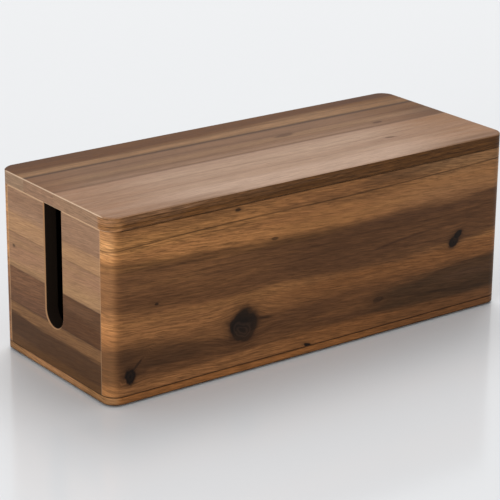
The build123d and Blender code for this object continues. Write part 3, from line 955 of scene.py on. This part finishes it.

# the base's do so between these; its flat top is counted in, as the walls and the near-black colour cover
# that
baseEdge = (boxSize['baseBottom'] + 0.4, boxSize['wallBottom'] + 1.0)
baseBoard = {
    'name': 'base board', 'axes': 'XYZ', 'seed': 75.0, 'stained': True, 'clear': 0.7, 'edgeClear': 0.8,
    'upright': baseEdge, 'light': '#4E3320', 'deep': '#402918',
    'edgeFigure': [
        {'to': -120, 'fade': 6, 'colour': '#8B643E'},
        {'from': -260, 'to': -148, 'fade': 30, 'colour': '#9A6F49'},
        {'from': -136, 'to': -100, 'fade': 14, 'colour': '#9C7149'},
        {'from': -118, 'fade': 10, 'colour': '#925F34'},
        {'from': 100, 'fade': 100, 'colour': '#6A4528'},
    ],
    'seams': [
        # painted shade: a dark line in the groove under the walls, and one along the bottom edge where the
        # shade below the base falls
        {'line': boxSize['wallBottom'], 'width': 1.0, 'colour': '#2C190C', 'strength': 0.8, 'edge': True},
        {'line': baseEdge[0], 'width': 1.2, 'colour': '#22140B', 'strength': 0.8, 'edge': True},
    ],
}
dress(['base_board'], oiledWalnut(baseBoard))

rearBoard = {
    'name': 'rear board', 'axes': 'XZY', 'seed': 71.0, 'stained': True, 'roundCorners': True,
    'light': '#94663C', 'deep': '#835935', 'clear': 0.9,
    'figure': [
        # brown heartwood below, golden wood above, with one pale streak left between
        {'upper': [(-200, 78), (-120, 74), (-30, 80), (60, 88), (140, 84), (200, 80)], 'soft': 8,
         'colour': '#65432B'},
        {'upper': [(-200, 62), (-120, 58), (-30, 66), (60, 74), (140, 68), (200, 64)],
         'lower': [(-200, 30), (-60, 24), (60, 34), (200, 28)], 'soft': (10, 12), 'colour': '#4F3423',
         'strength': 0.95},
        {'upper': [(-200, 26), (0, 20), (200, 24)], 'soft': 8, 'colour': '#7E5633', 'strength': 0.8},
        {'lower': [(-200, 126), (0, 124), (200, 128)], 'soft': 8, 'colour': '#73502F', 'strength': 0.7},
        {'upper': [(0, 116), (200, 112)], 'lower': [(0, 100), (200, 97)], 'soft': 6, 'from': -60,
         'fade': 120, 'colour': '#6C482D', 'strength': 0.7},
        {'line': [(-200, 80), (-120, 76), (-30, 82), (60, 90), (140, 86), (200, 82)], 'width': 1.6,
         'colour': '#2C1B10', 'strength': 0.6},
        {'line': [(-200, 118), (-100, 114), (0, 116), (100, 120), (200, 116)], 'width': 1.0,
         'colour': '#3A2412', 'strength': 0.6},
        {'line': [(-200, 52), (-60, 46), (60, 56), (200, 50)], 'width': 1.6, 'colour': '#2E1C12',
         'strength': 0.5},
    ],
    # painted highlight on the rounded corners at both ends
    'paintedLight': cornerHighlightMarks,
    'knots': [
        {'at': (62, 96), 'size': (8, 6.5), 'turn': 25, 'heartAt': (0.3, -0.2), **ringedKnot},
        {'at': (-118, 50), 'size': (5, 3.6), 'turn': 10, **darkKnot},
        {'at': (-20, 120), 'size': (2.4, 1.4), 'strength': 0.8, **darkKnot},
    ],
    # the same painted shade lines, in the gap under the lid and in the groove above the base
    'seams': frontBoard['seams'],
}
dress(['rear_board'], oiledWalnut(rearBoard))

battens = {
    'name': 'battens', 'axes': 'XYZ', 'seed': 83.0, 'clear': 0.8,
    'light': '#8A6038', 'deep': '#765030',
}
dress(['front_batten', 'rear_batten'], oiledWalnut(battens))
print("boards finished")

# beech dowel rod: pale pinkish straw with short darker ray flecks, planed smooth and left plain
dowelRod = {
    'pieces': ['corner_dowels'],
    'light': '#DDBD92', 'deep': '#CDA878', 'ray': '#A87C50',
    'tones': {'size': (3, 40, 3), 'seed': 1, 'spread': (0.35, 0.65), 'gives': (0, 1)},
    # real rays are about 0.2 x 2 mm; drawn a little larger
    'rays': {'size': (0.5, 3.0, 0.5), 'seed': 5, 'spread': (0.58, 0.66), 'gives': (0, 0.6)},
    'roughness': 0.55,
    'ior': 1.5,
    'gloss': 0.3,
}


def plainBeech(d):
    material, tree = startMaterial("plain beech rod")
    spot = spotInMm(tree)
    layers = []
    for name, colour in (('tones', d['deep']), ('rays', d['ray'])):
        _, share = risingPattern(tree, spot, d[name])
        layers.append((share, colour, 'MIX'))
    shader = addNode(tree, 'BsdfPrincipled',
                     {'Roughness': d['roughness'], 'IOR': d['ior'], 'Specular IOR Level': d['gloss']},
                     {'Base Color': layered(tree, d['light'], layers)})
    addNode(tree, 'OutputMaterial', {}, {'Surface': shader})
    return material


dress(dowelRod['pieces'], plainBeech(dowelRod))

# bright zinc on cold-headed steel: a bluish silver with faint yellowish clouds and fine turning marks
zincPlate = {
    'pieces': ['base_screws', 'batten_screws'],
    'blue': '#C5CBD0', 'straw': '#CFC9B8',
    'clouds': {'size': (2.5, 2.5, 2.5), 'seed': 1, 'spread': (0.4, 0.65), 'gives': (0, 1)},
    # the marks give the roughness
    'marks': {'size': (0.6, 0.6, 0.25), 'seed': 9, 'spread': (0.3, 0.7), 'gives': (0.26, 0.42)},
    'bumpHeight': 0.00002,
    'bumpStrength': 0.25,
}


def brightZinc(z):
    material, tree = startMaterial("bright zinc plated steel")
    spot = spotInMm(tree)
    _, cloud = risingPattern(tree, spot, z['clouds'])
    marks, rough = risingPattern(tree, spot, z['marks'])
    bump = addNode(tree, 'Bump', {'Strength': z['bumpStrength'], 'Distance': z['bumpHeight']},
                   {'Height': marks})
    shader = addNode(tree, 'BsdfPrincipled', {'Metallic': 1.0}, {
        'Base Color': layered(tree, z['blue'], [(cloud, z['straw'], 'MIX')]),
        'Roughness': rough, 'Normal': bump,
    })
    addNode(tree, 'OutputMaterial', {}, {'Surface': shader})
    return material


dress(zincPlate['pieces'], brightZinc(zincPlate))

# moulded silicone rubber: nearly black and matt, a little grey where dust clings to its fine grain
rubberFeet = {
    'pieces': ['front_left_foot', 'front_right_foot', 'rear_left_foot', 'rear_right_foot'],
    'rubber': '#1E1E1F', 'dust': '#3A3938',
    'grainSize': (0.4, 0.4, 0.4),    # the mould was blasted with fine grit
    'grainSeed': 3,
    'dusting': {'size': (6, 6, 6), 'seed': 7, 'detail': 4.0, 'spread': (0.45, 0.7), 'gives': (0, 0.5)},
    # it is duller where dust lies, over a wider part of the same pattern
    'dullSpread': (0.35, 0.65),
    'roughness': (0.72, 0.9),
    'ior': 1.43,
    'bumpHeight': 0.00004,
    'bumpStrength': 0.4,
}


def mouldedRubber(r):
    material, tree = startMaterial("moulded silicone rubber")
    spot = spotInMm(tree)
    grain = flecks(tree, spot, r['grainSize'], r['grainSeed'])
    dust, share = risingPattern(tree, spot, r['dusting'])
    low, high = r['dullSpread']
    least, most = r['roughness']
    rough = addNode(tree, 'MapRange', {'From Min': low, 'From Max': high, 'To Min': least, 'To Max': most},
                    {'Value': dust})
    bump = addNode(tree, 'Bump', {'Strength': r['bumpStrength'], 'Distance': r['bumpHeight']},
                   {'Height': grain})
    shader = addNode(tree, 'BsdfPrincipled', {'IOR': r['ior']}, {
        'Base Color': layered(tree, r['rubber'], [(share, r['dust'], 'MIX')]),
        'Roughness': rough, 'Normal': bump,
    })
    addNode(tree, 'OutputMaterial', {}, {'Surface': shader})
    return material


dress(rubberFeet['pieces'], mouldedRubber(rubberFeet))
print("dowels, screws and feet finished")
